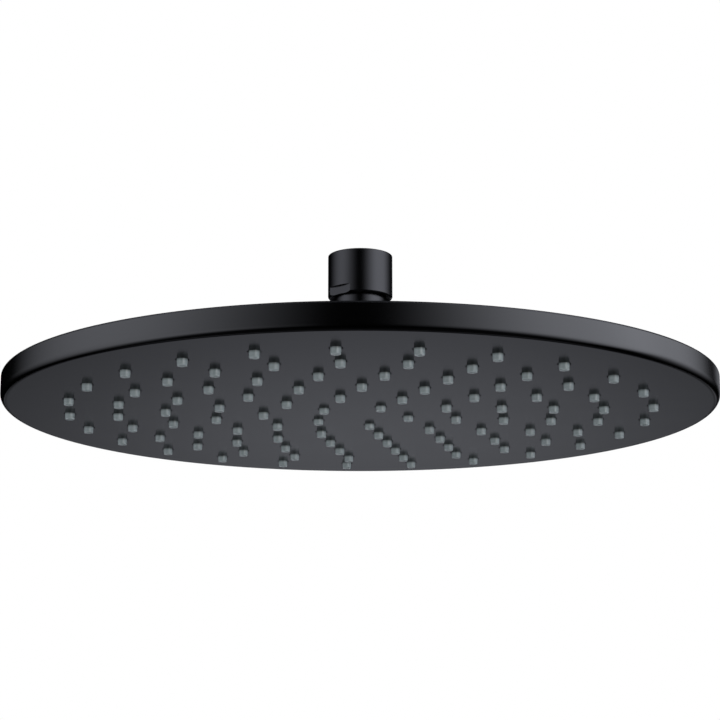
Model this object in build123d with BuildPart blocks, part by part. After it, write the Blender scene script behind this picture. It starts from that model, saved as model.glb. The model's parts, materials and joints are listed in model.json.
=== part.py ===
from build123d import *
import os
from math import acos, asin, cos, degrees, radians, sin, sqrt, tan

os.makedirs("parts", exist_ok=True)

# Lengths are in millimetres and angles in degrees. The origin is on the inlet's axis where its thread begins,
# +Z points up along the supply pipe, and the head hangs below.

# Face and rim
head_diameter = 300.0
rim_height = 10.47
rim_wall = 2.6
rim_lower_round = 3.0
rim_upper_round = 0.8
face_wall = 2.4
face_dome = 1.6

# Nozzles, in rings about the middle that share one radial line
nozzles_in_ring = [5, 10, 15, 20, 25, 25]
outer_ring_margin = 27.43
ring_start_angle = 78.6
nozzle_root_diameter = 4.2
nozzle_tip_diameter = 3.9
nozzle_tip_round = 0.3
nozzle_length = 2.5
inner_nozzle_length = 2.0
nozzle_outlet_diameter = 1.2
nozzle_feed_diameter = 2.4
nozzle_cup_diameter = 2.5
nozzle_cup_depth = 0.4
nozzle_hole_gap = 0.5
mat_wall = 1.4
mat_bead_width = 3.5

# Water chamber
chamber_wall = 2.2
chamber_rise = 4.0
chamber_rib_count = 10
chamber_rib_wall = 2.0
chamber_rib_height = 6.0
passage_diameter = 14.0

# Screws of the chamber cover
screw_count = 10
screw_start_angle = 18.0
screw_diameter = 2.9
screw_length = 7.0
screw_head_diameter = 5.4
screw_head_angle = 90.0
screw_recess_length = 2.8
screw_recess_width = 0.7
screw_recess_depth = 0.9
screw_boss_diameter = 7.0

# Back cover
cover_wall = 2.2
skirt_wall = 2.2
cover_flat_margin = 3.5

# Connector
socket_diameter = 27.5
socket_length = 18.95
socket_upper_round = 0.6
socket_lower_round = 1.0
thread_diameter = 20.955
thread_length = 10.4
thread_relief = 0.4
mouth_chamfer = 0.8
flats_width = 24.9
flats_height = 3.65
flats_angle = 226.3
shoulder_diameter = 21.8
shoulder_length = 4.25
dish_width = 1.7
dish_depth = 1.2
neck_diameter = 13.0
water_bore = 8.5

# Inlet pieces
washer_outer_diameter = 18.4
washer_inner_diameter = 12.0
washer_thickness = 2.0
screen_diameter = 16.0
screen_thickness = 0.5
screen_hole = 1.1
screen_bar = 0.5
screen_holes_across = 9
regulator_diameter = 13.9
regulator_height = 4.4
regulator_rim = 1.2
regulator_web = 1.2
regulator_hub_diameter = 4.6
regulator_hole_diameter = 1.2
regulator_hole_count = 8
regulator_ring_section = 1.6

# Ball joint
ball_diameter = 20.0
ball_height = 33.0
ball_flat_depth = 8.5
tilt_limit = 12.0
tilt_clearance = 0.5
tilt_margin_angle = 2.0
joint_wall = 3.0
joint_half_gap = 0.4
split_ring_land = 0.3
split_ring_slit = 1.2
ball_seal_section = 2.0
ball_seal_angle = 120.0
ball_seal_margin_angle = 1.0
seat_mouth_angle = 147.0
seat_floor = 0.6
seat_seal_section = 1.3
seat_seal_groove_length = 1.8
seat_seal_floor = 1.0

# Collar
boss_wall = 2.45
boss_shoulder = 3.0
collar_wall = 2.9
collar_lip = 2.2
collar_thread_length = 7.8
collar_chamfer = 0.8
collar_notch_count = 12
collar_notch_diameter = 2.4
collar_washer_thickness = 1.0
collar_washer_inset = 0.5

# Clearances
ball_fit = 0.05
assembly_gap = 0.05
thread_gap = 0.1
cover_gap = 0.15
chamber_clearance = 0.6
screw_gap = 0.1
screw_side_clearance = 1.5

# Sizes that follow
head_radius = head_diameter / 2
socket_radius = socket_diameter / 2
shoulder_radius = shoulder_diameter / 2
neck_radius = neck_diameter / 2
thread_radius = thread_diameter / 2
ball_radius = ball_diameter / 2
joint_radius = ball_radius + joint_wall
boss_radius = joint_radius + assembly_gap + boss_wall
boss_foot_radius = boss_radius + boss_shoulder
collar_radius = boss_radius + thread_gap + collar_wall

# Tilt of the ball joint when both of its axes stand at their limits
full_tilt = degrees(acos(cos(radians(tilt_limit)) ** 2))
neck_angle = degrees(asin(neck_radius / ball_radius))
split_ring_angle = neck_angle + full_tilt + tilt_margin_angle
ball_seat_radius = ball_radius + ball_fit
split_ring_rise = ball_seat_radius * cos(radians(split_ring_angle)) + split_ring_land
collar_rise = split_ring_rise + assembly_gap + collar_lip
collar_mouth_radius = ball_radius + tilt_clearance
shoulder_rise = (
    collar_rise + tilt_clearance + shoulder_radius * sin(radians(full_tilt))
) / cos(radians(full_tilt))

# Levels along the inlet's axis
socket_top = mouth_chamfer
socket_bottom = socket_top - socket_length
socket_floor = -(thread_length + screen_thickness + washer_thickness + assembly_gap)
shoulder_bottom = socket_bottom - shoulder_length
ball_z = shoulder_bottom - shoulder_rise
face_z = ball_z - ball_height
rim_top = face_z + rim_height
cover_top = ball_z - collar_thread_length - collar_washer_thickness
cover_underside = cover_top - cover_wall
seat_bottom = ball_z + ball_seat_radius * cos(radians(seat_mouth_angle)) - seat_floor

# The face is a shallow cap of a sphere
face_sphere_radius = (head_radius**2 + face_dome**2) / (2 * face_dome)
face_sphere_z = face_z - face_dome + face_sphere_radius


def face_level(radius, above=0.0):
    """Height of the surface that lies a given distance above the face's outside."""
    return face_sphere_z - sqrt((face_sphere_radius - above) ** 2 - radius**2)


# The cover's dome is an arc that leaves its flat middle without a kink
cover_edge_radius = head_radius - rim_wall - cover_gap
skirt_inner_radius = cover_edge_radius - skirt_wall
cover_flat_radius = collar_radius + cover_flat_margin
dome_reach = cover_edge_radius - cover_flat_radius
dome_drop = cover_top - rim_top
dome_radius = (dome_reach**2 + dome_drop**2) / (2 * dome_drop)


def cover_level(radius, below=0.0):
    """Height of the surface that lies a given distance below the cover's outside."""
    arc_radius = dome_radius - below
    return cover_top - dome_radius + sqrt(arc_radius**2 - (radius - cover_flat_radius) ** 2)


# Radii outwards from the nozzles to the skirt, and the levels of the chamber's flange
ring_pitch = (head_radius - outer_ring_margin) / len(nozzles_in_ring)
screw_circle_radius = skirt_inner_radius - screw_side_clearance - screw_boss_diameter / 2
flange_radius = screw_circle_radius + screw_boss_diameter / 2
mat_radius = screw_circle_radius - screw_boss_diameter / 2 - screw_side_clearance
flange_inner_radius = mat_radius - mat_bead_width
flange_top = cover_level(flange_radius, cover_wall) - chamber_clearance
flange_bottom = flange_top - chamber_wall
mat_above_face = face_wall + assembly_gap
floor_at_screws = face_level(screw_circle_radius, face_wall)


def on_ball(radius, angle):
    """Point of the profile plane on a sphere about the ball's centre, by its angle from straight up."""
    return (radius * sin(radians(angle)), ball_z + radius * cos(radians(angle)))


def ball_arc(radius, start_angle, end_angle):
    """Arc of the profile about the ball's centre."""
    middle_angle = (start_angle + end_angle) / 2
    return ThreePointArc(
        on_ball(radius, start_angle), on_ball(radius, middle_angle), on_ball(radius, end_angle)
    )


def face_arc(start_radius, end_radius, above):
    """Arc of the profile along the face, a given distance above its outside."""
    middle_radius = (start_radius + end_radius) / 2
    return ThreePointArc(
        (start_radius, face_level(start_radius, above)),
        (middle_radius, face_level(middle_radius, above)),
        (end_radius, face_level(end_radius, above)),
    )


def cover_arc(start_radius, end_radius, below):
    """Arc of the profile along the cover's dome, a given distance below its outside."""
    middle_radius = (start_radius + end_radius) / 2
    return ThreePointArc(
        (start_radius, cover_level(start_radius, below)),
        (middle_radius, cover_level(middle_radius, below)),
        (end_radius, cover_level(end_radius, below)),
    )


def turn(points):
    """Turn a straight-sided profile of (radius, height) points about the Z axis."""
    with BuildSketch(Plane.XZ) as profile:
        with BuildLine():
            Polyline(*points, close=True)
        make_face()
    revolve(profile.sketch, axis=Axis.Z)


def ring_places(ring):
    """Places of one ring's nozzles, on the outside of the face."""
    radius = ring_pitch * (ring + 1)
    count = nozzles_in_ring[ring]
    angles = [radians(ring_start_angle + 360 * i / count) for i in range(count)]
    return [Location((radius * cos(a), radius * sin(a), face_level(radius))) for a in angles]


inner_places = ring_places(0)
outer_places = [place for ring in range(1, len(nozzles_in_ring)) for place in ring_places(ring)]

# Connector: socket, shoulder, neck and ball turned in one piece, bored through, dished under the socket, with two
# spanner flats
regulator_pocket_radius = regulator_diameter / 2 + assembly_gap
regulator_pocket_floor = socket_floor - regulator_height - assembly_gap
ball_bottom = ball_z - ball_flat_depth
ball_flat_angle = degrees(acos(-ball_flat_depth / ball_radius))
with BuildPart() as connector:
    with BuildSketch(Plane.XZ) as connector_profile:
        with BuildLine():
            ball_curve = ball_arc(ball_radius, ball_flat_angle, neck_angle)
            Polyline(
                ball_curve @ 1,
                (neck_radius, shoulder_bottom),
                (shoulder_radius, shoulder_bottom),
                (shoulder_radius, socket_bottom + dish_depth),
                (shoulder_radius + dish_width, socket_bottom),
                (socket_radius, socket_bottom),
                (socket_radius, socket_top),
                (thread_radius + mouth_chamfer, socket_top),
                (thread_radius, 0),
                (thread_radius, -thread_length),
                (thread_radius + thread_relief, -thread_length),
                (thread_radius + thread_relief, socket_floor),
                (regulator_pocket_radius, socket_floor),
                (regulator_pocket_radius, regulator_pocket_floor),
                (water_bore / 2, regulator_pocket_floor),
                (water_bore / 2, ball_bottom),
                ball_curve @ 0,
            )
        make_face()
        socket_corners = connector_profile.vertices().group_by(Axis.X)[-1].sort_by(Axis.Y)
        fillet(socket_corners[0], socket_lower_round)
        socket_corners = connector_profile.vertices().group_by(Axis.X)[-1].sort_by(Axis.Y)
        fillet(socket_corners[-1], socket_upper_round)
    revolve(axis=Axis.Z)
    with Locations((0, 0, socket_bottom + flats_height / 2)):
        with PolarLocations((flats_width + socket_radius) / 2, 2, flats_angle):
            Box(socket_radius, socket_diameter, flats_height, mode=Mode.SUBTRACT)
connector.part.label = "connector"
export_step(connector.part, "parts/connector.step")

# Filter screen: a stiff round screen on the socket's floor
with BuildPart() as filter_screen:
    with BuildSketch(Plane.XY.offset(socket_floor)):
        Circle(screen_diameter / 2)
        screen_pitch = screen_hole + screen_bar
        screen_places = GridLocations(screen_pitch, screen_pitch, screen_holes_across, screen_holes_across)
        open_radius = washer_inner_diameter / 2 - screen_hole / sqrt(2)
        open_places = [place for place in screen_places.locations if place.position.length < open_radius]
        with Locations(*open_places):
            Rectangle(screen_hole, screen_hole, mode=Mode.SUBTRACT)
    extrude(amount=screen_thickness)
filter_screen.part.label = "filter_screen"
export_step(filter_screen.part, "parts/filter_screen.step")

# Inlet washer: flat rubber ring on the screen, below the thread
with BuildPart() as inlet_washer:
    with BuildSketch(Plane.XY.offset(socket_floor + screen_thickness)):
        Circle(washer_outer_diameter / 2)
        Circle(washer_inner_diameter / 2, mode=Mode.SUBTRACT)
    extrude(amount=washer_thickness)
inlet_washer.part.label = "inlet_washer"
export_step(inlet_washer.part, "parts/inlet_washer.step")

# Flow regulator: cup with a middle hub, an elastic ring about the hub and holes in its web
regulator_bottom = regulator_pocket_floor
regulator_top = regulator_bottom + regulator_height
regulator_web_top = regulator_bottom + regulator_web
regulator_inner_radius = regulator_diameter / 2 - regulator_rim
regulator_hub_radius = regulator_hub_diameter / 2
regulator_ring_radius = regulator_hub_radius + assembly_gap + regulator_ring_section / 2
regulator_hole_circle = water_bore / 2 - regulator_hole_diameter
with BuildPart() as flow_regulator:
    turn(
        [
            (0, regulator_bottom),
            (regulator_diameter / 2, regulator_bottom),
            (regulator_diameter / 2, regulator_top),
            (regulator_inner_radius, regulator_top),
            (regulator_inner_radius, regulator_web_top),
            (regulator_hub_radius, regulator_web_top),
            (regulator_hub_radius, regulator_top),
            (0, regulator_top),
        ]
    )
    with BuildSketch(Plane.XY.offset(regulator_bottom)):
        with PolarLocations(regulator_hole_circle, regulator_hole_count):
            Circle(regulator_hole_diameter / 2)
    extrude(amount=regulator_web, mode=Mode.SUBTRACT)
flow_regulator.part.label = "flow_regulator"
export_step(flow_regulator.part, "parts/flow_regulator.step")

with BuildPart() as regulator_ring:
    with Locations((0, 0, regulator_web_top + assembly_gap + regulator_ring_section / 2)):
        Torus(regulator_ring_radius, regulator_ring_section / 2)
regulator_ring.part.label = "regulator_ring"
export_step(regulator_ring.part, "parts/regulator_ring.step")

# Split ring: holds the ball from above, slit so that it snaps round the neck
split_ring_bottom = ball_z + joint_half_gap
split_ring_top = ball_z + split_ring_rise
split_ring_low_angle = degrees(acos(joint_half_gap / ball_seat_radius))
with BuildPart() as split_ring:
    with BuildSketch(Plane.XZ):
        with BuildLine():
            ring_curve = ball_arc(ball_seat_radius, split_ring_angle, split_ring_low_angle)
            Polyline(
                ring_curve @ 1,
                (joint_radius, split_ring_bottom),
                (joint_radius, split_ring_top),
                ((ring_curve @ 0).X, split_ring_top),
                ring_curve @ 0,
            )
        make_face()
    revolve(axis=Axis.Z)
    with Locations((joint_radius / 2, 0, ball_z)):
        Box(joint_radius + joint_wall, split_ring_slit, ball_diameter, mode=Mode.SUBTRACT)
split_ring.part.label = "split_ring"
export_step(split_ring.part, "parts/split_ring.step")

# Ball seal: rubber ring that follows the ball inside the seat's wide groove
ball_seal_path = ball_radius + ball_fit + ball_seal_section / 2
with BuildPart() as ball_seal:
    with Locations((0, 0, on_ball(ball_seal_path, ball_seal_angle)[1])):
        Torus(on_ball(ball_seal_path, ball_seal_angle)[0], ball_seal_section / 2)
ball_seal.part.label = "ball_seal"
export_step(ball_seal.part, "parts/ball_seal.step")

# Ball seat: moulded cup below the ball, with the groove of the ball seal and one for its own seal
seat_top = ball_z - joint_half_gap
seat_top_angle = degrees(acos(-joint_half_gap / ball_seat_radius))
groove_radius = ball_radius + 2 * ball_fit + ball_seal_section
ball_seal_half_angle = degrees(asin(ball_seal_section / 2 / ball_seal_path))
groove_half_angle = ball_seal_half_angle + tilt_limit + ball_seal_margin_angle
groove_start = ball_seal_angle - groove_half_angle
groove_end = ball_seal_angle + groove_half_angle
seat_groove_bottom = seat_bottom + seat_seal_floor
seat_groove_top = seat_groove_bottom + seat_seal_groove_length
seat_groove_radius = joint_radius - seat_seal_section
with BuildPart() as ball_seat:
    with BuildSketch(Plane.XZ):
        with BuildLine():
            upper_land = ball_arc(ball_seat_radius, seat_top_angle, groove_start)
            groove_curve = ball_arc(groove_radius, groove_start, groove_end)
            lower_land = ball_arc(ball_seat_radius, groove_end, seat_mouth_angle)
            Line(upper_land @ 1, groove_curve @ 0)
            Line(groove_curve @ 1, lower_land @ 0)
            Polyline(
                lower_land @ 1,
                ((lower_land @ 1).X, seat_bottom),
                (joint_radius, seat_bottom),
                (joint_radius, seat_groove_bottom),
                (seat_groove_radius, seat_groove_bottom),
                (seat_groove_radius, seat_groove_top),
                (joint_radius, seat_groove_top),
                (joint_radius, seat_top),
                upper_land @ 0,
            )
        make_face()
    revolve(axis=Axis.Z)
ball_seat.part.label = "ball_seat"
export_step(ball_seat.part, "parts/ball_seat.step")

# Seat seal: rubber ring in the seat's outer groove
with BuildPart() as seat_seal:
    with Locations((0, 0, (seat_groove_bottom + seat_groove_top) / 2)):
        Torus(joint_radius - seat_seal_section / 2 + assembly_gap / 2, seat_seal_section / 2)
seat_seal.part.label = "seat_seal"
export_step(seat_seal.part, "parts/seat_seal.step")

# Collar: screws onto the boss and clamps the split ring, with grip notches round its outside
collar_bottom = cover_top + collar_washer_thickness
collar_pocket_radius = joint_radius + assembly_gap
collar_thread_radius = boss_radius + thread_gap
collar_ledge = ball_z + assembly_gap
collar_lip_underside = split_ring_top + assembly_gap
collar_top = ball_z + collar_rise
with BuildPart() as collar:
    turn(
        [
            (collar_thread_radius, collar_bottom),
            (collar_radius, collar_bottom),
            (collar_radius, collar_top - collar_chamfer),
            (collar_radius - collar_chamfer, collar_top),
            (collar_mouth_radius + collar_chamfer, collar_top),
            (collar_mouth_radius, collar_top - collar_chamfer),
            (collar_mouth_radius, collar_lip_underside),
            (collar_pocket_radius, collar_lip_underside),
            (collar_pocket_radius, collar_ledge),
            (collar_thread_radius, collar_ledge),
        ]
    )
    with BuildSketch(Plane.XY.offset(collar_bottom)):
        with PolarLocations(collar_radius + collar_notch_diameter / 4, collar_notch_count):
            Circle(collar_notch_diameter / 2)
    extrude(amount=collar_top - collar_bottom, mode=Mode.SUBTRACT)
collar.part.label = "collar"
export_step(collar.part, "parts/collar.step")

# Collar washer: flat ring between the collar and the cover
with BuildPart() as collar_washer:
    with BuildSketch(Plane.XY.offset(cover_top)):
        Circle(collar_radius - collar_washer_inset)
        Circle(collar_thread_radius, mode=Mode.SUBTRACT)
    extrude(amount=collar_washer_thickness)
collar_washer.part.label = "collar_washer"
export_step(collar_washer.part, "parts/collar_washer.step")

# Back cover: flat middle, shallow dome, and a skirt inside the rim that stands on the face plate
skirt_bottom = face_level(cover_edge_radius, face_wall) + assembly_gap
with BuildPart() as back_cover:
    with BuildSketch(Plane.XZ):
        with BuildLine():
            outside = cover_arc(cover_flat_radius, cover_edge_radius, 0)
            inside = cover_arc(cover_flat_radius, skirt_inner_radius, cover_wall)
            Polyline(
                outside @ 1,
                (cover_edge_radius, skirt_bottom),
                (skirt_inner_radius, skirt_bottom),
                inside @ 1,
            )
            Polyline(
                inside @ 0,
                (boss_radius + thread_gap, cover_underside),
                (boss_radius + thread_gap, cover_top),
                outside @ 0,
            )
        make_face()
    revolve(axis=Axis.Z)
back_cover.part.label = "back_cover"
export_step(back_cover.part, "parts/back_cover.step")

# Chamber cover: coned plate over the water chamber, with the boss of the ball joint, a flange and ribs
passage_radius = passage_diameter / 2
with BuildPart() as chamber_cover:
    turn(
        [
            (passage_radius, flange_bottom + chamber_rise),
            (passage_radius, seat_bottom),
            (joint_radius + assembly_gap, seat_bottom),
            (joint_radius + assembly_gap, ball_z),
            (boss_radius, ball_z),
            (boss_radius, cover_underside),
            (boss_foot_radius, cover_underside),
            (boss_foot_radius, flange_top + chamber_rise),
            (flange_inner_radius, flange_top),
            (flange_radius, flange_top),
            (flange_radius, flange_bottom),
            (flange_inner_radius, flange_bottom),
            (boss_foot_radius, flange_bottom + chamber_rise),
        ]
    )
    with BuildSketch(Plane.XZ) as rib_profile:
        with BuildLine():
            Polyline(
                (boss_foot_radius - boss_shoulder / 2, flange_top + chamber_rise - chamber_wall / 2),
                (boss_foot_radius - boss_shoulder / 2, flange_top + chamber_rise + chamber_rib_height),
                (boss_foot_radius, flange_top + chamber_rise + chamber_rib_height),
                (flange_inner_radius, flange_top),
                (flange_inner_radius, flange_top - chamber_wall / 2),
                close=True,
            )
        make_face()
    rib = extrude(amount=chamber_rib_wall / 2, both=True, mode=Mode.PRIVATE)
    with PolarLocations(0, chamber_rib_count):
        add(rib)
    with Locations((0, 0, flange_top)):
        with PolarLocations(screw_circle_radius, screw_count, screw_start_angle):
            CounterSinkHole(
                radius=screw_diameter / 2 + screw_gap,
                counter_sink_radius=screw_head_diameter / 2 + screw_gap,
                depth=chamber_wall,
                counter_sink_angle=screw_head_angle,
            )
chamber_cover.part.label = "chamber_cover"
export_step(chamber_cover.part, "parts/chamber_cover.step")

# Chamber screws: countersunk, with a cross recess, all in one node
screw_radius = screw_diameter / 2
screw_head_radius = screw_head_diameter / 2
screw_head_height = (screw_head_radius - screw_radius) / tan(radians(screw_head_angle / 2))
with BuildPart() as chamber_screw:
    turn(
        [
            (0, 0),
            (screw_head_radius, 0),
            (screw_radius, -screw_head_height),
            (screw_radius, screw_radius - screw_length),
            (0, -screw_length),
        ]
    )
    for recess_turn in (0, 90):
        with Locations(Location((0, 0, -screw_recess_depth / 2), (0, 0, recess_turn))):
            Box(screw_recess_length, screw_recess_width, screw_recess_depth, mode=Mode.SUBTRACT)
with BuildPart() as chamber_screws:
    with Locations((0, 0, flange_top)):
        with PolarLocations(screw_circle_radius, screw_count, screw_start_angle):
            add(chamber_screw.part)
chamber_screws.part.label = "chamber_screws"
export_step(chamber_screws.part, "parts/chamber_screws.step")

# One nozzle and its water way, standing on the outside of the face with the spray pointing down
nozzle_root = mat_above_face + mat_wall / 2
nozzle_top = mat_above_face + mat_wall


def nozzle_profile(length):
    """Outline of a nozzle: taper, rounded tip, and a shank up through the face into the mat."""
    tip_radius = nozzle_tip_diameter / 2
    root_radius = nozzle_root_diameter / 2
    with BuildSketch(Plane.XZ) as profile:
        with BuildLine():
            Polyline(
                (0, -length),
                (tip_radius, -length),
                (root_radius, 0),
                (root_radius, nozzle_root),
                (0, nozzle_root),
                close=True,
            )
        make_face()
        tip_corner = profile.vertices().group_by(Axis.Y)[0].sort_by(Axis.X)[-1]
        fillet(tip_corner, nozzle_tip_round)
    return profile.sketch


def water_way_profile(length):
    """Outline of a nozzle's bore: feed cone from the chamber, outlet, and the cup in the tip."""
    feed_radius = nozzle_feed_diameter / 2
    outlet_radius = nozzle_outlet_diameter / 2
    cup_radius = nozzle_cup_diameter / 2
    with BuildSketch(Plane.XZ) as profile:
        with BuildLine():
            Polyline(
                (0, -length),
                (cup_radius, -length),
                (outlet_radius, nozzle_cup_depth - length),
                (outlet_radius, 0),
                (feed_radius, mat_above_face),
                (feed_radius, nozzle_top + mat_wall),
                (0, nozzle_top + mat_wall),
                close=True,
            )
        make_face()
    return profile.sketch


with BuildPart() as inner_nozzle:
    revolve(nozzle_profile(inner_nozzle_length), axis=Axis.Z)
with BuildPart() as outer_nozzle:
    revolve(nozzle_profile(nozzle_length), axis=Axis.Z)
with BuildPart() as inner_water_way:
    revolve(water_way_profile(inner_nozzle_length), axis=Axis.Z)
with BuildPart() as outer_water_way:
    revolve(water_way_profile(nozzle_length), axis=Axis.Z)

# Nozzle mat: one silicone sheet on the face plate with every nozzle and a thick sealing edge
with BuildPart() as nozzle_mat:
    with BuildSketch(Plane.XZ):
        with BuildLine():
            underside = face_arc(0, mat_radius, mat_above_face)
            topside = face_arc(0, flange_inner_radius, mat_above_face + mat_wall)
            Polyline(
                underside @ 1,
                (mat_radius, flange_bottom - assembly_gap),
                (flange_inner_radius, flange_bottom - assembly_gap),
                topside @ 1,
            )
            Line(topside @ 0, underside @ 0)
        make_face()
    revolve(axis=Axis.Z)
    with Locations(*inner_places):
        add(inner_nozzle.part)
    with Locations(*outer_places):
        add(outer_nozzle.part)
    with Locations(*inner_places):
        add(inner_water_way.part, mode=Mode.SUBTRACT)
    with Locations(*outer_places):
        add(outer_water_way.part, mode=Mode.SUBTRACT)
nozzle_mat.part.label = "nozzle_mat"
export_step(nozzle_mat.part, "parts/nozzle_mat.step")

# Face plate: domed face and rim in one moulding, with screw bosses inside
screw_pilot_depth = screw_length + screw_gap - chamber_wall
with BuildPart() as face_plate:
    with BuildSketch(Plane.XZ) as face_profile:
        with BuildLine():
            outer_face = face_arc(0, head_radius, 0)
            inner_face = face_arc(0, head_radius - rim_wall, face_wall)
            Polyline(
                outer_face @ 1,
                (head_radius, rim_top),
                (head_radius - rim_wall, rim_top),
                inner_face @ 1,
            )
            Line(inner_face @ 0, outer_face @ 0)
        make_face()
        rim_corners = face_profile.vertices().group_by(Axis.X)[-1].sort_by(Axis.Y)
        fillet(rim_corners[0], rim_lower_round)
        rim_corners = face_profile.vertices().group_by(Axis.X)[-1].sort_by(Axis.Y)
        fillet(rim_corners[-1], rim_upper_round)
    revolve(axis=Axis.Z)
    with BuildSketch(Plane.XY.offset(flange_bottom)):
        with PolarLocations(screw_circle_radius, screw_count, screw_start_angle):
            Circle(screw_boss_diameter / 2)
    extrude(amount=floor_at_screws - face_wall / 2 - flange_bottom)
    with BuildSketch(Plane.XY.offset(flange_bottom)):
        with PolarLocations(screw_circle_radius, screw_count, screw_start_angle):
            Circle(screw_diameter / 2 + screw_gap)
    extrude(amount=-screw_pilot_depth, mode=Mode.SUBTRACT)
    with BuildSketch(Plane.XY.offset(face_z - face_dome)):
        with Locations(*[(place.position.X, place.position.Y) for place in inner_places + outer_places]):
            Circle(nozzle_root_diameter / 2 + nozzle_hole_gap)
    extrude(amount=face_dome + face_wall, mode=Mode.SUBTRACT)
face_plate.part.label = "face_plate"
export_step(face_plate.part, "parts/face_plate.step")
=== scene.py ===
import json
import math

import bmesh
import bpy
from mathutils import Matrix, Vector
from mathutils.geometry import delaunay_2d_cdt


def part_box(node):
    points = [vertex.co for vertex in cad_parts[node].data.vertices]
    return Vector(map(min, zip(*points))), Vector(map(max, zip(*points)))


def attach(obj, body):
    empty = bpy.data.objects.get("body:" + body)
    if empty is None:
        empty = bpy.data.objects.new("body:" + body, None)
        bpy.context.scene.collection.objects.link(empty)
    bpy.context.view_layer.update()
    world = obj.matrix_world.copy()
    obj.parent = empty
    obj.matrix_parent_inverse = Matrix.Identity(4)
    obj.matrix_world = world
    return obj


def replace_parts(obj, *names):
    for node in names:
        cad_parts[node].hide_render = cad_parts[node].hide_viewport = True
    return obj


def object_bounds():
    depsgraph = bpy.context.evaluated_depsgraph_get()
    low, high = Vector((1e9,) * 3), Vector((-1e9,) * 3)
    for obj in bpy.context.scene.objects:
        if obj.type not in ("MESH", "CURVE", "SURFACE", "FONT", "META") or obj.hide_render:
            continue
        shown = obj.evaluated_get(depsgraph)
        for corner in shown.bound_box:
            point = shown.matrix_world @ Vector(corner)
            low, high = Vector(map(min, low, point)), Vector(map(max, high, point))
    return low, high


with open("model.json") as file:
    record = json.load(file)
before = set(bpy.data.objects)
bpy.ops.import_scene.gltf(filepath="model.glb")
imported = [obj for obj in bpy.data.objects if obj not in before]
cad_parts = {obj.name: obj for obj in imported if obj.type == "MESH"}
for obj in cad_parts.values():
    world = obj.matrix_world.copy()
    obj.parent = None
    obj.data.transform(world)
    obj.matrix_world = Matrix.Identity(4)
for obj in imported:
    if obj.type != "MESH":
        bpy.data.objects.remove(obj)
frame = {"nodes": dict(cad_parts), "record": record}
cad_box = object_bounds()

# Lengths are in metres and angles in degrees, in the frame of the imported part: +Z up along the supply pipe.
MILLIMETRE = 0.001
SMOOTH_ANGLE = 40

# Inlet thread, G 1/2; its run-out is in turns
THREAD_PITCH = 1.814 * MILLIMETRE
THREAD_DEPTH = 1.162 * MILLIMETRE
THREAD_CREST = 0.30 * MILLIMETRE
THREAD_ROOT_GAP = 0.25 * MILLIMETRE
THREAD_SINK = 0.05 * MILLIMETRE
THREAD_RUN_OUT = 0.6
THREAD_STEPS_PER_TURN = 96

# Woven filter screen
WIRE_RADIUS = 0.12 * MILLIMETRE
WIRE_SIDES = 6
WIRE_STEPS_PER_CROSSING = 4
WIRES_PER_HOLE_PITCH = 2
SCREEN_HOLE_PITCH = 1.6 * MILLIMETRE
SCREEN_RIM_WIDTH = 1.2 * MILLIMETRE
SCREEN_RIM_STEPS = 96

# Face plate
RIM_WALL = 2.6 * MILLIMETRE
RIM_LOWER_ROUND = 3.0 * MILLIMETRE
RIM_UPPER_ROUND = 0.8 * MILLIMETRE
FACE_WALL = 2.4 * MILLIMETRE
FACE_DOME = 1.6 * MILLIMETRE
HOLE_RADIUS = 2.6 * MILLIMETRE
HOLE_MOUTH_ROUND = 0.2 * MILLIMETRE
NOZZLES_IN_RING = (5, 10, 15, 20, 25, 25)
OUTER_RING_MARGIN = 27.43 * MILLIMETRE
RING_START_ANGLE = 78.6
SCREW_COUNT = 10
SCREW_START_ANGLE = 18.0
SCREW_CIRCLE_RADIUS = 140.05 * MILLIMETRE
SCREW_BOSS_RADIUS = 3.5 * MILLIMETRE
SCREW_PILOT_RADIUS = 1.55 * MILLIMETRE

# Fineness of the face plate's mesh; the margin keeps the sheet's normals from bending at its edges
RIM_STEPS = 360
ROUND_STEPS = 10
HOLE_STEPS = 40
MOUTH_STEPS = 4
SHEET_GUIDE_STEPS = 60
SHEET_GUIDE_HOLE_RADII = 2
SHEET_MARGIN = 0.15 * MILLIMETRE
SHEET_TOLERANCE = 1e-9

# Order of the face plate's looks, and how many rings of the lower round still have the face's look
RIM_LOOK = 0
FACE_LOOK = 1
EDGE_LOOK = 2
FACE_LOOK_STEPS = 3

# Black coat of the face plate, and a paler copy of it for the back cover, whose paleness is painted light
# that lets the cover read from above
COAT_DARK = (0.036, 0.036, 0.038)
COAT_LIGHT = (0.042, 0.042, 0.044)
COVER_PAINTED_LIGHT_DARK = (0.064, 0.064, 0.067)
COVER_PAINTED_LIGHT_PALE = (0.074, 0.074, 0.077)

# Painted shade at the nozzles' roots: share of the silicone's colour left at a root, and the depths below the
# face where it recovers
PAINTED_ROOT_SHADE = 0.45
PAINTED_ROOT_SHADE_START = -0.4 * MILLIMETRE
PAINTED_ROOT_SHADE_END = 1.0 * MILLIMETRE

# Camera
CAMERA_PLACE = Vector((-0.11, -885.8, -244.24)) * MILLIMETRE
CAMERA_PITCH = 12.69
CAMERA_LENS = 107.06

# Floor and background
FLOOR_DROP = 1.6
FLOOR_RADIUS = 5.7
FLOOR_STEPS = 96
FLOOR_ROUGHNESS = 0.9
FLOOR_COLOUR = (0.25, 0.25, 0.25, 1)
FLOOR_GLOW = (0.68, 0.68, 0.68, 1)
BACKGROUND_COLOUR = (1, 1, 1, 1)
BACKGROUND_LEVEL = 1.0

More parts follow.
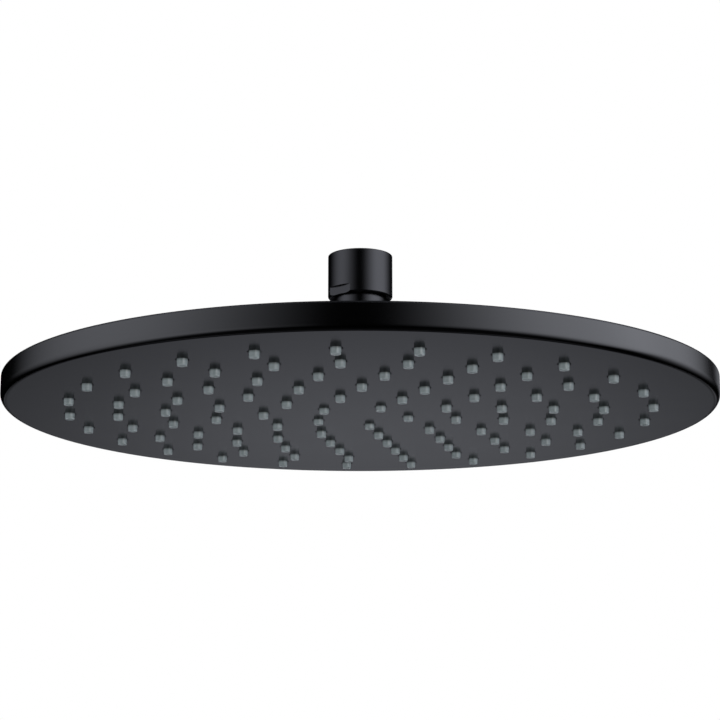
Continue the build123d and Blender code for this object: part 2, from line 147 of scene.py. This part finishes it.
# Light tent
TENT_RADIUS = 6.0
TENT_DIVISIONS = 4
TENT_COLOUR = (0.88, 0.906, 1.0, 1)
TENT_PANELS = [
    # Azimuth (0 front, 90 right) and level, then start, full, fade and end by angle from it and by elevation
    # Right side, its front half and its back half
    (80, 3.0, (-76, -15, 8, 30), (-60, -8, 45, 85)),
    (80, 1.97, (8, 30, 20, 66), (-42, 10, 45, 85)),
    # Left side
    (-80, 1.88, (-60, 8, 10, 74), (-62, -28, 45, 85)),
    # Low behind, where the face mirrors it: a peak and a wider spread
    (179.2, 0.63, (-16, -1, 1, 16), (-32, -24, -15, -1)),
    (179.2, 0.40, (-24, -16.5, 16.5, 24), (-32, -24, -15, -1)),
    # Straight below
    (180, 0.03, (-180, -90, 90, 180), (-91, -90, -70, -45)),
    # Far down behind
    (180, 0.2, (-40, -15, 15, 40), (-60, -52, -46, -36)),
    # High up behind
    (180, 0.25, (-70, -20, 20, 70), (28, 50, 70, 90)),
    # Behind to the right
    (162, 0.22, (-16, -5, 5, 13), (0, 8, 25, 40)),
]

# Lamps
FILL_PLACE = (-0.15, -1.5, -0.6)
FILL_PITCH = 115
FILL_SIZE = 0.9
FILL_POWER = 6.5
GLINT_AZIMUTH = 35
GLINT_ELEVATION = 8
GLINT_DISTANCE = 3.0
GLINT_SIZE = (0.1, 1.0)
GLINT_POWER = 12.0

# Sizes and places from the frame
thread_mount = frame["record"]["mounts"][0]
THREAD_RADIUS = thread_mount["dims"]["r_mm"] * MILLIMETRE
THREAD_LENGTH = thread_mount["dims"]["length_mm"] * MILLIMETRE
THREAD_TOP = thread_mount["pos_m"][2]
HEAD_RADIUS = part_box("face_plate")[1].x
FACE_SPHERE_RADIUS = (HEAD_RADIUS**2 + FACE_DOME**2) / (2 * FACE_DOME)
FACE_SPHERE_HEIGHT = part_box("face_plate")[0].z + FACE_SPHERE_RADIUS
RING_PITCH = (HEAD_RADIUS - OUTER_RING_MARGIN) / len(NOZZLES_IN_RING)


# Materials
def start_material(name, roughness, metallic=0.0):
    """New node material; gives the material, its node tree and its shader."""
    material = bpy.data.materials.new(name)
    material.use_nodes = True
    tree = material.node_tree
    shader = tree.nodes["Principled BSDF"]
    shader.inputs["Roughness"].default_value = roughness
    shader.inputs["Metallic"].default_value = metallic
    return material, tree, shader


def add_noise(tree, scale, detail, stretch=(1, 1, 1)):
    """Noise in the piece's own coordinates; scale counts features in a metre."""
    place = tree.nodes.new("ShaderNodeTexCoord")
    mapping = tree.nodes.new("ShaderNodeMapping")
    mapping.inputs["Scale"].default_value = stretch
    noise = tree.nodes.new("ShaderNodeTexNoise")
    noise.inputs["Scale"].default_value = scale
    noise.inputs["Detail"].default_value = detail
    tree.links.new(place.outputs["Object"], mapping.inputs["Vector"])
    tree.links.new(mapping.outputs["Vector"], noise.inputs["Vector"])
    return noise


def vary_colour(tree, shader, noise, dark, light):
    """Let the base colour wander between two values."""
    mix = tree.nodes.new("ShaderNodeMix")
    mix.data_type = "RGBA"
    mix.inputs["A"].default_value = (*dark, 1)
    mix.inputs["B"].default_value = (*light, 1)
    tree.links.new(noise.outputs["Fac"], mix.inputs["Factor"])
    tree.links.new(mix.outputs["Result"], shader.inputs["Base Color"])


def vary_roughness(tree, shader, noise, low, high):
    """Let the roughness wander between two values."""
    spread = tree.nodes.new("ShaderNodeMapRange")
    spread.inputs["To Min"].default_value = low
    spread.inputs["To Max"].default_value = high
    tree.links.new(noise.outputs["Fac"], spread.inputs["Value"])
    tree.links.new(spread.outputs["Result"], shader.inputs["Roughness"])


def add_bump(tree, shader, noise, strength, height):
    """Raise the surface by the noise; height is in metres."""
    bump = tree.nodes.new("ShaderNodeBump")
    bump.inputs["Strength"].default_value = strength
    bump.inputs["Distance"].default_value = height
    tree.links.new(noise.outputs["Fac"], bump.inputs["Height"])
    tree.links.new(bump.outputs["Normal"], shader.inputs["Normal"])


def add_reach(tree):
    """How far a point is from the centre of the face's dome."""
    place = tree.nodes.new("ShaderNodeTexCoord")
    reach = tree.nodes.new("ShaderNodeVectorMath")
    reach.operation = "DISTANCE"
    reach.inputs[1].default_value = (0, 0, FACE_SPHERE_HEIGHT)
    tree.links.new(place.outputs["Object"], reach.inputs[0])
    return reach.outputs["Value"]


def add_range(tree, value, low, high, to_low=0.0):
    """Smooth change from a lower value to 1 while the input goes from low to high."""
    node = tree.nodes.new("ShaderNodeMapRange")
    node.interpolation_type = "SMOOTHSTEP"
    node.inputs["From Min"].default_value = low
    node.inputs["From Max"].default_value = high
    node.inputs["To Min"].default_value = to_low
    tree.links.new(value, node.inputs["Value"])
    return node.outputs["Result"]


def satin_black(name, metallic, edge_tint, dark, light, smooth, rough, body_gloss=0.5):
    """Satin black coating with a faint orange peel; the edge tint holds back its gloss at a slant."""
    material, tree, shader = start_material(name, smooth, metallic)
    shader.inputs["Specular Tint"].default_value = (edge_tint, edge_tint, edge_tint, 1)
    shader.inputs["Specular IOR Level"].default_value = body_gloss
    cloud = add_noise(tree, scale=45, detail=3)
    vary_colour(tree, shader, cloud, dark, light)
    vary_roughness(tree, shader, cloud, smooth, rough)
    peel = add_noise(tree, scale=1400, detail=2)
    add_bump(tree, shader, peel, strength=0.08, height=0.04 * MILLIMETRE)
    return material


def silicone_grey():
    """Grey silicone, a little see-through at its edges, with painted shade that darkens it towards the
    nozzles' roots.
    """
    material, tree, shader = start_material("silicone_grey", roughness=0.25)
    cloud = add_noise(tree, scale=160, detail=3)
    vary_colour(tree, shader, cloud, dark=(0.252, 0.292, 0.285), light=(0.292, 0.332, 0.325))
    # Painted shade: the colour darkens towards each nozzle's root, where the face and its hole would shade it
    start = FACE_SPHERE_RADIUS + PAINTED_ROOT_SHADE_START
    end = FACE_SPHERE_RADIUS + PAINTED_ROOT_SHADE_END
    painted_shade = add_range(tree, add_reach(tree), start, end, to_low=PAINTED_ROOT_SHADE)
    painted_shade_mix = tree.nodes.new("ShaderNodeMix")
    painted_shade_mix.data_type = "RGBA"
    painted_shade_mix.inputs["A"].default_value = (0, 0, 0, 1)
    tree.links.new(painted_shade, painted_shade_mix.inputs["Factor"])
    tree.links.new(shader.inputs["Base Color"].links[0].from_socket, painted_shade_mix.inputs["B"])
    tree.links.new(painted_shade_mix.outputs["Result"], shader.inputs["Base Color"])
    shader.inputs["Subsurface Weight"].default_value = 0.2
    shader.inputs["Subsurface Radius"].default_value = (0.9, 1.0, 1.0)
    shader.inputs["Subsurface Scale"].default_value = 0.6 * MILLIMETRE
    grain = add_noise(tree, scale=2600, detail=2)
    add_bump(tree, shader, grain, strength=0.1, height=0.03 * MILLIMETRE)
    return material


def moulded_plastic(name, dark, light, roughness):
    """Moulded plastic with a fine grain."""
    material, tree, shader = start_material(name, roughness)
    vary_colour(tree, shader, add_noise(tree, scale=90, detail=4), dark, light)
    grain = add_noise(tree, scale=3200, detail=3)
    add_bump(tree, shader, grain, strength=0.15, height=0.03 * MILLIMETRE)
    return material


def black_rubber():
    """Matte rubber with a dusty grain."""
    material, tree, shader = start_material("black_rubber", roughness=0.72)
    grain = add_noise(tree, scale=2400, detail=4)
    vary_colour(tree, shader, grain, dark=(0.014, 0.014, 0.014), light=(0.028, 0.028, 0.028))
    add_bump(tree, shader, grain, strength=0.3, height=0.04 * MILLIMETRE)
    return material


def stainless(name, stretch):
    """Drawn or turned stainless steel, its grain stretched along the working direction."""
    material, tree, shader = start_material(name, roughness=0.28, metallic=1.0)
    grain = add_noise(tree, scale=2200, detail=3, stretch=stretch)
    vary_colour(tree, shader, grain, dark=(0.50, 0.50, 0.49), light=(0.66, 0.66, 0.65))
    vary_roughness(tree, shader, grain, low=0.22, high=0.36)
    add_bump(tree, shader, grain, strength=0.12, height=0.02 * MILLIMETRE)
    return material


looks = {
    "coated_brass": satin_black(
        "coated_brass_satin",
        metallic=1.0,
        edge_tint=0.4,
        dark=(0.034, 0.034, 0.035),
        light=(0.039, 0.039, 0.040),
        smooth=0.22,
        rough=0.25,
    ),
    "coated_plastic": satin_black(
        "coated_plastic_satin",
        metallic=0.0,
        edge_tint=1.0,
        dark=(0.0003, 0.0003, 0.0003),
        light=(0.0006, 0.0006, 0.0006),
        smooth=0.15,
        rough=0.18,
    ),
    "bare_plastic": moulded_plastic(
        "bare_plastic_black", dark=(0.024, 0.024, 0.026), light=(0.036, 0.036, 0.038), roughness=0.5
    ),
    "white_plastic": moulded_plastic(
        "white_plastic", dark=(0.74, 0.73, 0.69), light=(0.81, 0.80, 0.77), roughness=0.38
    ),
    "grey_silicone": silicone_grey(),
    "black_rubber": black_rubber(),
    "stainless_screen": stainless("stainless_wire", stretch=(1, 1, 1)),
    "stainless_screw": stainless("stainless_turned", stretch=(1, 1, 6)),
}
edge_coat = satin_black(
    "coated_plastic_edge",
    metallic=1.0,
    edge_tint=0.45,
    dark=COAT_DARK,
    light=COAT_LIGHT,
    smooth=0.36,
    rough=0.40,
)
# Back cover: the same black coat made paler, half metallic and without its body gloss; the paleness is
# painted light that stands in for light from above
cover_coat_painted_light = satin_black(
    "coated_plastic_cover_painted_light",
    metallic=0.5,
    edge_tint=0.45,
    dark=COVER_PAINTED_LIGHT_DARK,
    light=COVER_PAINTED_LIGHT_PALE,
    smooth=0.36,
    rough=0.40,
    body_gloss=0.0,
)
face_coat = satin_black(
    "coated_plastic_face",
    metallic=1.0,
    edge_tint=0.45,
    dark=COAT_DARK,
    light=COAT_LIGHT,
    smooth=0.17,
    rough=0.20,
)

for part in frame["record"]["subparts"]:
    frame["nodes"][part["node"]].material_slots[0].material = looks[part["material_slot"]]
# The back cover takes the paler coat, with its painted light
frame["nodes"]["back_cover"].material_slots[0].material = cover_coat_painted_light


# Helpers for meshes and objects
def link_object(name, data):
    """New object in the scene."""
    made = bpy.data.objects.new(name, data)
    bpy.context.scene.collection.objects.link(made)
    return made


def new_piece(name, mesh, slot, body):
    """Object of a finished mesh that rides on a body and takes its look from a slot."""
    piece = link_object(name, mesh)
    piece.data.materials.append(looks[slot])
    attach(piece, body)
    return piece


def bridge(shape, first, second, look=0):
    """Quads between two closed rings of corners, in one of the piece's looks."""
    for i in range(len(first)):
        j = (i + 1) % len(first)
        shape.faces.new((first[i], first[j], second[j], second[i])).material_index = look


def add_rod(shape, rings):
    """Rod through rings of corners, closed at both ends."""
    for first, second in zip(rings, rings[1:]):
        bridge(shape, first, second)
    shape.faces.new(rings[0])
    shape.faces.new(rings[-1])


def add_hoop(shape, rings):
    """Hoop through rings of corners, from the last back to the first."""
    for index, ring in enumerate(rings):
        bridge(shape, ring, rings[(index + 1) % len(rings)])


def turned_profile(shape, profile, angle, height=0.0):
    """Corners of a profile of radii and heights, turned about the pipe's axis by an angle in radians."""
    return [shape.verts.new((r * math.cos(angle), r * math.sin(angle), height + z)) for r, z in profile]


def circle(middle, reach, steps):
    """Places around a circle, seen along the pipe's axis."""
    angles = [2 * math.pi * i / steps for i in range(steps)]
    return [Vector((middle[0] + reach * math.cos(a), middle[1] + reach * math.sin(a))) for a in angles]


def level_ring(shape, middle, reach, steps, height):
    """Ring of corners at one height."""
    return [shape.verts.new((p.x, p.y, height)) for p in circle(middle, reach, steps)]


def finish_mesh(shape, name):
    """Mesh of a bmesh with outward normals, smooth up to an angle."""
    bmesh.ops.recalc_face_normals(shape, faces=shape.faces)
    for face in shape.faces:
        face.smooth = True
    for edge in shape.edges:
        if len(edge.link_faces) == 2 and edge.calc_face_angle() > math.radians(SMOOTH_ANGLE):
            edge.smooth = False
    mesh = bpy.data.meshes.new(name)
    shape.to_mesh(mesh)
    shape.free()
    return mesh


# Inlet thread: one ridge that winds down the socket's wall and runs out at both ends
def thread_ridge():
    turns = (THREAD_LENGTH - THREAD_PITCH) / THREAD_PITCH
    steps = round(turns * THREAD_STEPS_PER_TURN)
    base = THREAD_RADIUS + THREAD_SINK
    base_half = (THREAD_PITCH - THREAD_ROOT_GAP) / 2
    crest_half = THREAD_CREST / 2
    start = THREAD_TOP - THREAD_PITCH / 2
    shape = bmesh.new()
    rings = []
    for step in range(steps + 1):
        turned = step / THREAD_STEPS_PER_TURN
        rise = min(1, turned / THREAD_RUN_OUT, (turns - turned) / THREAD_RUN_OUT)
        crest = THREAD_RADIUS - THREAD_DEPTH * max(rise, 0)
        profile = [(base, base_half), (crest, crest_half), (crest, -crest_half), (base, -base_half)]
        rings.append(turned_profile(shape, profile, 2 * math.pi * turned, start - turned * THREAD_PITCH))
    add_rod(shape, rings)
    return finish_mesh(shape, "inlet_thread")


new_piece("inlet_thread", thread_ridge(), "coated_brass", "connector")


# Filter screen: woven wires held in a pressed rim
def add_wire(shape, index, along_y, pitch, reach, middle, swing):
    """Wire of the weave, counted from the middle one, that waves over and under those it crosses."""
    across = index * pitch
    crossings = int(math.sqrt(reach**2 - across**2) / pitch)
    if crossings == 0:
        return
    phase = index + (1 if along_y else 0)
    rings = []
    for step in range(2 * crossings * WIRE_STEPS_PER_CROSSING + 1):
        along = (step / WIRE_STEPS_PER_CROSSING - crossings) * pitch
        wave = math.cos(math.pi * (along / pitch + phase)) * swing
        ring = []
        for side in range(WIRE_SIDES):
            turn = 2 * math.pi * side / WIRE_SIDES
            off = across + WIRE_RADIUS * math.cos(turn)
            height = middle + wave + WIRE_RADIUS * math.sin(turn)
            ring.append(shape.verts.new((off, along, height) if along_y else (along, off, height)))
        rings.append(ring)
    add_rod(shape, rings)


def woven_screen():
    low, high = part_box("filter_screen")
    outer = (high.x - low.x) / 2
    inner = outer - SCREEN_RIM_WIDTH
    reach = inner + SCREEN_RIM_WIDTH / 2
    pitch = SCREEN_HOLE_PITCH / WIRES_PER_HOLE_PITCH
    middle = (low.z + high.z) / 2
    swing = (high.z - low.z) / 2 - WIRE_RADIUS
    count = int(reach / pitch)
    shape = bmesh.new()
    for along_y in (False, True):
        for index in range(-count, count + 1):
            add_wire(shape, index, along_y, pitch, reach, middle, swing)
    profile = [(outer, high.z), (inner, high.z), (inner, low.z), (outer, low.z)]
    angles = [2 * math.pi * step / SCREEN_RIM_STEPS for step in range(SCREEN_RIM_STEPS)]
    add_hoop(shape, [turned_profile(shape, profile, angle) for angle in angles])
    return finish_mesh(shape, "woven_screen")


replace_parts(new_piece("woven_screen", woven_screen(), "stainless_screen", "connector"), "filter_screen")


# Face plate: domed face and rim, finer than the solid, with rounded mouths at the holes
def face_height(place, above):
    """Height of the surface a given distance above the face's outside."""
    return FACE_SPHERE_HEIGHT - math.sqrt((FACE_SPHERE_RADIUS - above) ** 2 - place[0] ** 2 - place[1] ** 2)


def hole_places():
    """Middles of the holes, in rings that all start on one radial line."""
    holes = []
    for ring, count in enumerate(NOZZLES_IN_RING):
        for i in range(count):
            angle = math.radians(RING_START_ANGLE + 360 * i / count)
            holes.append(Vector((math.cos(angle), math.sin(angle))) * RING_PITCH * (ring + 1))
    return holes


def rim_profile():
    """Radius and height along the rim's outside, from the face over both rounds to the inner edge."""
    rim_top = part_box("face_plate")[1].z
    round_centre = HEAD_RADIUS - RIM_LOWER_ROUND
    round_height = face_height((round_centre, 0), RIM_LOWER_ROUND)
    join_angle = math.asin(round_centre / (FACE_SPHERE_RADIUS - RIM_LOWER_ROUND))
    profile = []
    for step in range(ROUND_STEPS + 1):
        angle = join_angle + (math.pi / 2 - join_angle) * step / ROUND_STEPS
        reach = round_centre + RIM_LOWER_ROUND * math.sin(angle)
        profile.append((reach, round_height - RIM_LOWER_ROUND * math.cos(angle)))
    for step in range(ROUND_STEPS + 1):
        angle = math.pi / 2 * step / ROUND_STEPS
        reach = HEAD_RADIUS - RIM_UPPER_ROUND * (1 - math.cos(angle))
        profile.append((reach, rim_top - RIM_UPPER_ROUND * (1 - math.sin(angle))))
    profile.append((HEAD_RADIUS - RIM_WALL, rim_top))
    return profile


def holed_sheet(shape, holes, edge_radius, hole_radius, above, look):
    """Sheet with all holes at one distance above the face; gives its edge and the holes' edges."""

    def clear_of_holes(place, distance):
        return min((place - hole).length for hole in holes) > distance

    loops = [circle((0, 0), edge_radius, RIM_STEPS)]
    loops += [circle(hole, hole_radius, HOLE_STEPS) for hole in holes]
    places = []
    edges = []
    for loop in loops:
        first = len(places)
        places += loop
        edges += [(first + i, first + (i + 1) % len(loop)) for i in range(len(loop))]
    loops_end = len(places)
    # Guide places halfway between the rings of holes keep the triangles even
    for ring in range(len(NOZZLES_IN_RING)):
        guide = circle((0, 0), RING_PITCH * (ring + 0.5), SHEET_GUIDE_STEPS)
        places += [p for p in guide if clear_of_holes(p, SHEET_GUIDE_HOLE_RADII * hole_radius)]
    triangles = delaunay_2d_cdt(places, edges, [], 0, SHEET_TOLERANCE)[2]
    corners = [shape.verts.new((p.x, p.y, face_height(p, above))) for p in places]
    for triangle in triangles:
        middle = (places[triangle[0]] + places[triangle[1]] + places[triangle[2]]) / 3
        if clear_of_holes(middle, hole_radius):
            shape.faces.new([corners[i] for i in triangle]).material_index = look
    rings = [corners[first:first + HOLE_STEPS] for first in range(RIM_STEPS, loops_end, HOLE_STEPS)]
    return corners[:RIM_STEPS], rings


def add_rim(shape, profile, outer_edge, inner_edge):
    """Rim from the outer sheet's edge along its profile to the inner sheet's edge."""
    wall_top_index = ROUND_STEPS + 1
    last = outer_edge
    for index, (reach, height) in enumerate(profile):
        ring = level_ring(shape, (0, 0), reach, RIM_STEPS, height)
        look = RIM_LOOK
        if index < FACE_LOOK_STEPS:
            look = FACE_LOOK
        elif index > wall_top_index:
            look = EDGE_LOOK
        bridge(shape, last, ring, look)
        last = ring
    bridge(shape, last, inner_edge)


def add_mouth(shape, hole, outer_ring, inner_ring):
    """Hole's wall with a rounded mouth, from the outer sheet to the inner one."""
    last = outer_ring
    for step in range(MOUTH_STEPS + 1):
        angle = math.pi / 2 * step / MOUTH_STEPS
        reach = HOLE_RADIUS + HOLE_MOUTH_ROUND * (1 - math.sin(angle))
        above = HOLE_MOUTH_ROUND * (1 - math.cos(angle))
        places = circle(hole, reach, HOLE_STEPS)
        ring = [shape.verts.new((p.x, p.y, face_height(p, above))) for p in places]
        bridge(shape, last, ring, FACE_LOOK)
        last = ring
    bridge(shape, last, inner_ring)


def add_screw_boss(shape, middle):
    """Hollow post that takes a screw, from inside the face's wall up to the chamber cover."""
    foot = face_height(middle, FACE_WALL / 2)
    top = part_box("chamber_cover")[0].z
    profile = [
        (SCREW_BOSS_RADIUS, foot),
        (SCREW_BOSS_RADIUS, top),
        (SCREW_PILOT_RADIUS, top),
        (SCREW_PILOT_RADIUS, foot),
    ]
    add_hoop(shape, [level_ring(shape, middle, r, HOLE_STEPS, z) for r, z in profile])


def face_plate_mesh():
    """Whole plate: two holed sheets, the rim, the holes' walls and the screws' bosses."""
    holes = hole_places()
    profile = rim_profile()
    face_edge = profile[0][0] - SHEET_MARGIN
    mouth_edge = HOLE_RADIUS + HOLE_MOUTH_ROUND + SHEET_MARGIN
    inside = HEAD_RADIUS - RIM_WALL
    shape = bmesh.new()
    outer_edge, outer_rings = holed_sheet(shape, holes, face_edge, mouth_edge, 0, FACE_LOOK)
    inner_edge, inner_rings = holed_sheet(shape, holes, inside, HOLE_RADIUS, FACE_WALL, RIM_LOOK)
    add_rim(shape, profile, outer_edge, inner_edge)
    for hole, outer_ring, inner_ring in zip(holes, outer_rings, inner_rings):
        add_mouth(shape, hole, outer_ring, inner_ring)
    for index in range(SCREW_COUNT):
        angle = math.radians(SCREW_START_ANGLE + 360 * index / SCREW_COUNT)
        add_screw_boss(shape, Vector((math.cos(angle), math.sin(angle))) * SCREW_CIRCLE_RADIUS)
    return finish_mesh(shape, "face_plate_fine")


face_plate_fine = new_piece("face_plate_fine", face_plate_mesh(), "coated_plastic", "head")
face_plate_fine.data.materials.append(face_coat)
face_plate_fine.data.materials.append(edge_coat)
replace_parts(face_plate_fine, "face_plate")


# Stage: pale floor, light tent, lamps, white background and the camera
def stage_object(name, shape, material):
    """Object of a bmesh in one material."""
    mesh = bpy.data.meshes.new(name)
    shape.to_mesh(mesh)
    shape.free()
    mesh.materials.append(material)
    return link_object(name, mesh)


def heading(azimuth):
    """Level direction at an azimuth, 0 to the front and 90 to the right."""
    turn = math.radians(azimuth)
    return Vector((math.sin(turn), -math.cos(turn), 0))


def pale_floor():
    """Wide round floor below the head; its glow evens it out and only the camera sees it."""
    material, tree, shader = start_material("pale_floor", FLOOR_ROUGHNESS)
    shader.inputs["Base Color"].default_value = FLOOR_COLOUR
    shader.inputs["Specular IOR Level"].default_value = 0.0
    shader.inputs["Emission Color"].default_value = FLOOR_GLOW
    light_path = tree.nodes.new("ShaderNodeLightPath")
    tree.links.new(light_path.outputs["Is Camera Ray"], shader.inputs["Emission Strength"])
    material.cycles.emission_sampling = "NONE"
    shape = bmesh.new()
    bmesh.ops.create_circle(shape, cap_ends=True, segments=FLOOR_STEPS, radius=FLOOR_RADIUS)
    floor = stage_object("floor", shape, material)
    floor.location = (0, 0, cad_box[0].z - FLOOR_DROP)
    floor.visible_glossy = False
    floor.visible_diffuse = False


def tent_material():
    """Emission that is the sum of the tent's panels."""
    material = bpy.data.materials.new("tent_panels")
    material.use_nodes = True
    tree = material.node_tree
    tree.nodes.clear()

    def add_math(operation, first, second):
        node = tree.nodes.new("ShaderNodeMath")
        node.operation = operation
        tree.links.new(first, node.inputs[0])
        tree.links.new(second, node.inputs[1])
        return node.outputs["Value"]

    def along(axis):
        node = tree.nodes.new("ShaderNodeVectorMath")
        node.operation = "DOT_PRODUCT"
        node.inputs[1].default_value = axis
        tree.links.new(direction.outputs["Vector"], node.inputs[0])
        return node.outputs["Value"]

    def fade(angle, start, end):
        return add_range(tree, angle, math.radians(start), math.radians(end))

    place = tree.nodes.new("ShaderNodeTexCoord")
    direction = tree.nodes.new("ShaderNodeVectorMath")
    direction.operation = "NORMALIZE"
    tree.links.new(place.outputs["Object"], direction.inputs[0])
    elevation = tree.nodes.new("ShaderNodeMath")
    elevation.operation = "ARCSINE"
    tree.links.new(along((0, 0, 1)), elevation.inputs[0])
    total = None
    for middle, level, by_azimuth, by_elevation in TENT_PANELS:
        azimuth = add_math("ARCTAN2", along(heading(middle + 90)), along(heading(middle)))
        strength = tree.nodes.new("ShaderNodeValue").outputs[0]
        strength.default_value = level
        for angle, limits in ((azimuth, by_azimuth), (elevation.outputs["Value"], by_elevation)):
            strength = add_math("MULTIPLY", strength, fade(angle, limits[0], limits[1]))
            strength = add_math("MULTIPLY", strength, fade(angle, limits[3], limits[2]))
        total = strength if total is None else add_math("ADD", total, strength)
    emission = tree.nodes.new("ShaderNodeEmission")
    emission.inputs["Color"].default_value = TENT_COLOUR
    output = tree.nodes.new("ShaderNodeOutputMaterial")
    tree.links.new(total, emission.inputs["Strength"])
    tree.links.new(emission.outputs["Emission"], output.inputs["Surface"])
    return material


def light_tent():
    """Dome that lights the set from soft panels and doesn't show itself."""
    shape = bmesh.new()
    bmesh.ops.create_icosphere(shape, subdivisions=TENT_DIVISIONS, radius=TENT_RADIUS)
    tent = stage_object("light_tent", shape, tent_material())
    tent.location = (cad_box[0] + cad_box[1]) / 2
    tent.visible_camera = False


def area_lamp(name, power, place):
    """Area lamp that doesn't show itself."""
    lamp = link_object(name, bpy.data.lights.new(name, "AREA"))
    lamp.data.energy = power
    lamp.location = place
    lamp.visible_camera = False
    return lamp


def front_fill():
    """Soft lamp near the camera that fills the nozzles and isn't mirrored in the coating."""
    lamp = area_lamp("front_fill", FILL_POWER, FILL_PLACE)
    lamp.data.size = FILL_SIZE
    lamp.rotation_euler = (math.radians(FILL_PITCH), 0, 0)
    lamp.visible_glossy = False


def nozzle_glint():
    """Slim upright lamp that draws a line of light on each nozzle and lights nothing else."""
    elevation = math.radians(GLINT_ELEVATION)
    towards = heading(GLINT_AZIMUTH) * math.cos(elevation) + Vector((0, 0, math.sin(elevation)))
    face_bottom = Vector((0, 0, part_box("face_plate")[0].z))
    lamp = area_lamp("nozzle_glint", GLINT_POWER, face_bottom + towards * GLINT_DISTANCE)
    lamp.data.use_shadow = False
    lamp.data.shape = "RECTANGLE"
    lamp.data.size, lamp.data.size_y = GLINT_SIZE
    lamp.rotation_euler = towards.to_track_quat("Z", "Y").to_euler()
    lamp.visible_diffuse = False
    lit = bpy.data.collections.new("lit_by_glint")
    lit.objects.link(frame["nodes"]["nozzle_mat"])
    lamp.light_linking.receiver_collection = lit


def white_background():
    """White world; the tent keeps its light off the head."""
    world = bpy.data.worlds.new("studio")
    world.use_nodes = True
    background = world.node_tree.nodes["Background"]
    background.inputs["Color"].default_value = BACKGROUND_COLOUR
    background.inputs["Strength"].default_value = BACKGROUND_LEVEL
    bpy.context.scene.world = world


def photo_camera():
    """Camera in front of the head and a little below it, looking up."""
    camera = link_object("camera", bpy.data.cameras.new("camera"))
    camera.data.lens = CAMERA_LENS
    camera.location = CAMERA_PLACE
    camera.rotation_euler = (math.radians(90 + CAMERA_PITCH), 0, 0)
    bpy.context.scene.camera = camera


pale_floor()
light_tent()
front_fill()
nozzle_glint()
white_background()
photo_camera()
bpy.context.scene.view_settings.view_transform = "Standard"
